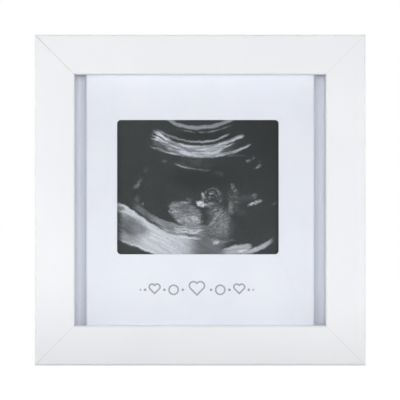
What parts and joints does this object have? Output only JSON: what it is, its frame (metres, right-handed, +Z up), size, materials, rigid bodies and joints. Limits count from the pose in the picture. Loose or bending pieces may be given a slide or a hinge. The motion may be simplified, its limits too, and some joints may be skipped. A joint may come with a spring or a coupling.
{
  "type": "ultrasound photo frame",
  "caption": "Square box picture frame for an ultrasound print: mitred rails, glass, raised window card, back panel held by turn buttons, wire hanger and hinged easel strut.",
  "frame": {"origin": "middle of the bottom rail's underside, at half the depth of the rails", "axes": "+Z up the frame, the front with the glass facing -Y, +X to the right as seen from the front"},
  "size_m": [0.2, 0.0337, 0.2],
  "materials": {
    "white_wrap": "satin white foil wrapped on fibreboard",
    "white_card": "matt, slightly bluish white",
    "print_paper": "glossy thermal print in greys",
    "clear_glass": "clear float glass",
    "tape": "masking tape",
    "fibreboard": "raw brown fibreboard",
    "zinc": "zinc-plated steel",
    "brass": "brass-plated steel, satin"
  },
  "bodies": {
    "frame": {"rail_left": "white_wrap", "rail_right": "white_wrap", "rail_top": "white_wrap", "rail_bottom": "white_wrap", "corner_nail_top_left_outer": "zinc", "corner_nail_top_left_inner": "zinc", "corner_nail_top_right_outer": "zinc", "corner_nail_top_right_inner": "zinc", "corner_nail_bottom_right_outer": "zinc", "corner_nail_bottom_right_inner": "zinc", "corner_nail_bottom_left_outer": "zinc", "corner_nail_bottom_left_inner": "zinc", "glass_pane": "clear_glass", "spacer_left": "white_card", "spacer_right": "white_card", "spacer_top": "white_card", "spacer_bottom": "white_card", "window_card": "white_card", "ultrasound_print": "print_paper", "tape_top": "tape", "tape_bottom": "tape", "backing_card": "white_card", "back_panel": "fibreboard", "screw_left_upper": "zinc", "screw_left_lower": "zinc", "screw_right_upper": "zinc", "screw_right_lower": "zinc", "hinge_leaf_fixed": "brass", "hinge_pin": "zinc", "hinge_rivet_fixed_left": "zinc", "hinge_rivet_fixed_right": "zinc", "hanger_strap": "zinc", "hanger_rivet": "zinc"},
    "strut": {"easel_strut": "fibreboard", "hinge_leaf_moving": "brass", "hinge_rivet_strut_left": "zinc", "hinge_rivet_strut_right": "zinc"},
    "ring": {"hanger_ring": "zinc"},
    "button_left_upper": {"turn_button_left_upper": "zinc"},
    "button_left_lower": {"turn_button_left_lower": "zinc"},
    "button_right_upper": {"turn_button_right_upper": "zinc"},
    "button_right_lower": {"turn_button_right_lower": "zinc"}
  },
  "joints": [
    {"name": "strut_hinge", "type": "hinge", "parent": "frame", "child": "strut", "pos_m": [0, 0.01615, 0.13], "axis": [1, 0, 0], "range_deg": [0, 30]},
    {"name": "ring_swing", "type": "hinge", "parent": "frame", "child": "ring", "pos_m": [0, 0.0157, 0.17], "axis": [1, 0, 0], "range_deg": [0, 180]},
    {"name": "button_left_upper_turn", "type": "hinge", "parent": "frame", "child": "button_left_upper", "pos_m": [-0.09, 0.01475, 0.14], "axis": [0, 1, 0], "continuous": true},
    {"name": "button_left_lower_turn", "type": "hinge", "parent": "frame", "child": "button_left_lower", "pos_m": [-0.09, 0.01475, 0.06], "axis": [0, 1, 0], "continuous": true},
    {"name": "button_right_upper_turn", "type": "hinge", "parent": "frame", "child": "button_right_upper", "pos_m": [0.09, 0.01475, 0.14], "axis": [0, 1, 0], "continuous": true},
    {"name": "button_right_lower_turn", "type": "hinge", "parent": "frame", "child": "button_right_lower", "pos_m": [0.09, 0.01475, 0.06], "axis": [0, 1, 0], "continuous": true}
  ]
}
